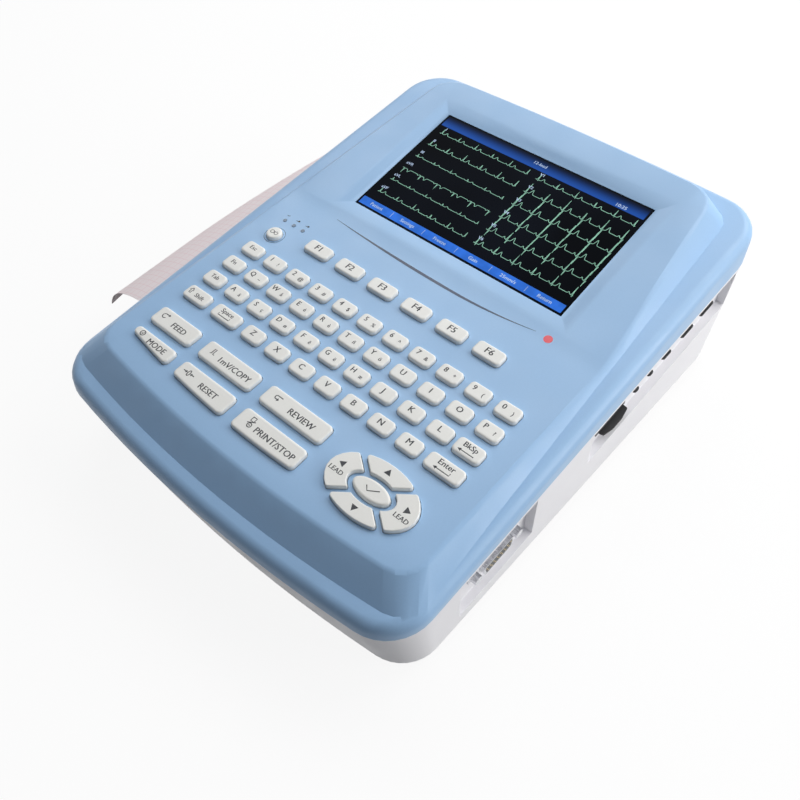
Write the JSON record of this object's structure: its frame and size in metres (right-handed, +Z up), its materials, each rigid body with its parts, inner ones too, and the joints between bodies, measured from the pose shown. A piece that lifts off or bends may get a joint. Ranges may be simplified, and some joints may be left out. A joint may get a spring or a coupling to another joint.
{
  "type": "electrocardiograph",
  "caption": "Desktop ECG recorder: sloping keyboard deck with tilted colour display, side paper drawer with thermal chart recorder, lead and data sockets on the right.",
  "frame": {"origin": "middle of the whole box, on the table under the rubber feet", "axes": "+X to the operator's right, +Y from the operator's edge to the back, +Z up"},
  "size_m": [0.3192, 0.3448, 0.1179],
  "materials": {
    "cover_blue": "fine-textured light blue moulding",
    "case_white": "fine-textured off-white moulding",
    "key_cream": "satin warm white key caps",
    "display_glass": "clear window",
    "display_panel": "dark display panel",
    "lens_clear": "tinted lens",
    "rubber_grey": "moulded rubber",
    "platen_rubber": "ground rubber roller",
    "board_green": "green circuit board",
    "battery_wrap": "shrink-wrapped cells",
    "sheet_steel": "zinc-plated sheet",
    "head_alloy": "bare heat sink",
    "screw_steel": "plated steel",
    "socket_shell": "nickel-plated shell",
    "socket_black": "black moulding",
    "stud_brass": "nickel-free turned brass",
    "gear_nylon": "natural nylon",
    "chart_paper": "pale pink thermal chart paper"
  },
  "bodies": {
    "case": {"base_tray": "case_white", "top_cover": "cover_blue", "display_window": "display_glass", "lcd_module": "display_panel", "keypad_mat": "rubber_grey", "key_board": "board_green", "main_board": "board_green", "power_board": "board_green", "battery_pack": "battery_wrap", "battery_door": "case_white", "print_head": "head_alloy", "recorder_frame": "sheet_steel", "head_spring": "sheet_steel", "stepper_motor": "sheet_steel", "lead_socket": "socket_shell", "jack_screws": "screw_steel", "signal_jacks": "socket_black", "usb_ports": "socket_shell", "network_port": "socket_shell", "card_slot": "socket_black", "ac_inlet": "socket_black", "ground_stud": "stud_brass", "rubber_feet": "rubber_grey", "case_screws": "screw_steel", "speaker": "socket_black", "indicator_lenses": "lens_clear"},
    "drawer": {"recorder_drawer": "case_white", "paper_pack": "chart_paper", "paper_strip": "chart_paper"},
    "platen": {"platen_roller": "platen_rubber", "platen_gear": "gear_nylon"},
    "idler": {"idler_gear": "gear_nylon"},
    "pinion": {"motor_pinion": "gear_nylon"},
    "power_body": {"power_key": "key_cream"},
    "soft_key_1_body": {"soft_key_1": "key_cream"},
    "soft_key_2_body": {"soft_key_2": "key_cream"},
    "soft_key_3_body": {"soft_key_3": "key_cream"},
    "soft_key_4_body": {"soft_key_4": "key_cream"},
    "soft_key_5_body": {"soft_key_5": "key_cream"},
    "soft_key_6_body": {"soft_key_6": "key_cream"},
    "feed_body": {"feed_key": "key_cream"},
    "calibrate_body": {"calibrate_key": "key_cream"},
    "review_body": {"review_key": "key_cream"},
    "mode_body": {"mode_key": "key_cream"},
    "reset_body": {"reset_key": "key_cream"},
    "print_body": {"print_key": "key_cream"},
    "nav_up_body": {"nav_up_key": "key_cream"},
    "nav_down_body": {"nav_down_key": "key_cream"},
    "nav_left_body": {"nav_left_key": "key_cream"},
    "nav_right_body": {"nav_right_key": "key_cream"},
    "confirm_body": {"confirm_key": "key_cream"},
    "shift_body": {"shift_key": "key_cream"},
    "space_body": {"space_key": "key_cream"},
    "enter_body": {"enter_key": "key_cream"},
    "backspace_body": {"backspace_key": "key_cream"},
    "number_row_body": {"number_row_keys": "key_cream"},
    "upper_row_body": {"upper_row_keys": "key_cream"},
    "middle_row_body": {"middle_row_keys": "key_cream"},
    "lower_row_body": {"lower_row_keys": "key_cream"}
  },
  "joints": [
    {"name": "drawer_slide", "type": "slide", "parent": "case", "child": "drawer", "axis": [-1, 0, 0], "range_m": [0, 0.14]},
    {"name": "platen_turn", "type": "hinge", "parent": "drawer", "child": "platen", "pos_m": [-0.0834, 0.00801, 0.05569], "axis": [0, 0.9945, 0.1045], "continuous": true},
    {"name": "idler_turn", "type": "hinge", "parent": "case", "child": "idler", "pos_m": [-0.0634, 0.12288, 0.06777], "axis": [0, 0.9945, 0.1045], "continuous": true},
    {"name": "pinion_turn", "type": "hinge", "parent": "case", "child": "pinion", "pos_m": [-0.0466, 0.12288, 0.06777], "axis": [0, 0.9945, 0.1045], "continuous": true},
    {"name": "power_press", "type": "slide", "parent": "case", "child": "power_body", "axis": [0, 0.1045, -0.9945], "range_m": [0, 0.0012], "stiffness_N_per_m": 400},
    {"name": "soft_key_1_press", "type": "slide", "parent": "case", "child": "soft_key_1_body", "axis": [0, 0.1045, -0.9945], "range_m": [0, 0.0012], "stiffness_N_per_m": 400},
    {"name": "soft_key_2_press", "type": "slide", "parent": "case", "child": "soft_key_2_body", "axis": [0, 0.1045, -0.9945], "range_m": [0, 0.0012], "stiffness_N_per_m": 400},
    {"name": "soft_key_3_press", "type": "slide", "parent": "case", "child": "soft_key_3_body", "axis": [0, 0.1045, -0.9945], "range_m": [0, 0.0012], "stiffness_N_per_m": 400},
    {"name": "soft_key_4_press", "type": "slide", "parent": "case", "child": "soft_key_4_body", "axis": [0, 0.1045, -0.9945], "range_m": [0, 0.0012], "stiffness_N_per_m": 400},
    {"name": "soft_key_5_press", "type": "slide", "parent": "case", "child": "soft_key_5_body", "axis": [0, 0.1045, -0.9945], "range_m": [0, 0.0012], "stiffness_N_per_m": 400},
    {"name": "soft_key_6_press", "type": "slide", "parent": "case", "child": "soft_key_6_body", "axis": [0, 0.1045, -0.9945], "range_m": [0, 0.0012], "stiffness_N_per_m": 400},
    {"name": "feed_press", "type": "slide", "parent": "case", "child": "feed_body", "axis": [0, 0.1045, -0.9945], "range_m": [0, 0.0012], "stiffness_N_per_m": 400},
    {"name": "calibrate_press", "type": "slide", "parent": "case", "child": "calibrate_body", "axis": [0, 0.1045, -0.9945], "range_m": [0, 0.0012], "stiffness_N_per_m": 400},
    {"name": "review_press", "type": "slide", "parent": "case", "child": "review_body", "axis": [0, 0.1045, -0.9945], "range_m": [0, 0.0012], "stiffness_N_per_m": 400},
    {"name": "mode_press", "type": "slide", "parent": "case", "child": "mode_body", "axis": [0, 0.1045, -0.9945], "range_m": [0, 0.0012], "stiffness_N_per_m": 400},
    {"name": "reset_press", "type": "slide", "parent": "case", "child": "reset_body", "axis": [0, 0.1045, -0.9945], "range_m": [0, 0.0012], "stiffness_N_per_m": 400},
    {"name": "print_press", "type": "slide", "parent": "case", "child": "print_body", "axis": [0, 0.1045, -0.9945], "range_m": [0, 0.0012], "stiffness_N_per_m": 400},
    {"name": "nav_up_press", "type": "slide", "parent": "case", "child": "nav_up_body", "axis": [0, 0.1045, -0.9945], "range_m": [0, 0.0012], "stiffness_N_per_m": 400},
    {"name": "nav_down_press", "type": "slide", "parent": "case", "child": "nav_down_body", "axis": [0, 0.1045, -0.9945], "range_m": [0, 0.0012], "stiffness_N_per_m": 400},
    {"name": "nav_left_press", "type": "slide", "parent": "case", "child": "nav_left_body", "axis": [0, 0.1045, -0.9945], "range_m": [0, 0.0012], "stiffness_N_per_m": 400},
    {"name": "nav_right_press", "type": "slide", "parent": "case", "child": "nav_right_body", "axis": [0, 0.1045, -0.9945], "range_m": [0, 0.0012], "stiffness_N_per_m": 400},
    {"name": "confirm_press", "type": "slide", "parent": "case", "child": "confirm_body", "axis": [0, 0.1045, -0.9945], "range_m": [0, 0.0012], "stiffness_N_per_m": 400},
    {"name": "shift_press", "type": "slide", "parent": "case", "child": "shift_body", "axis": [0, 0.1045, -0.9945], "range_m": [0, 0.0012], "stiffness_N_per_m": 400},
    {"name": "space_press", "type": "slide", "parent": "case", "child": "space_body", "axis": [0, 0.1045, -0.9945], "range_m": [0, 0.0012], "stiffness_N_per_m": 400},
    {"name": "enter_press", "type": "slide", "parent": "case", "child": "enter_body", "axis": [0, 0.1045, -0.9945], "range_m": [0, 0.0012], "stiffness_N_per_m": 400},
    {"name": "backspace_press", "type": "slide", "parent": "case", "child": "backspace_body", "axis": [0, 0.1045, -0.9945], "range_m": [0, 0.0012], "stiffness_N_per_m": 400},
    {"name": "number_row_press", "type": "slide", "parent": "case", "child": "number_row_body", "axis": [0, 0.1045, -0.9945], "range_m": [0, 0.0012], "stiffness_N_per_m": 3000},
    {"name": "upper_row_press", "type": "slide", "parent": "case", "child": "upper_row_body", "axis": [0, 0.1045, -0.9945], "range_m": [0, 0.0012], "stiffness_N_per_m": 3000},
    {"name": "middle_row_press", "type": "slide", "parent": "case", "child": "middle_row_body", "axis": [0, 0.1045, -0.9945], "range_m": [0, 0.0012], "stiffness_N_per_m": 3000},
    {"name": "lower_row_press", "type": "slide", "parent": "case", "child": "lower_row_body", "axis": [0, 0.1045, -0.9945], "range_m": [0, 0.0012], "stiffness_N_per_m": 3000}
  ],
  "couplings": [
    {"joint": "idler_turn", "follows": "platen_turn", "ratio": -0.66667},
    {"joint": "pinion_turn", "follows": "platen_turn", "ratio": 1.6667}
  ]
}
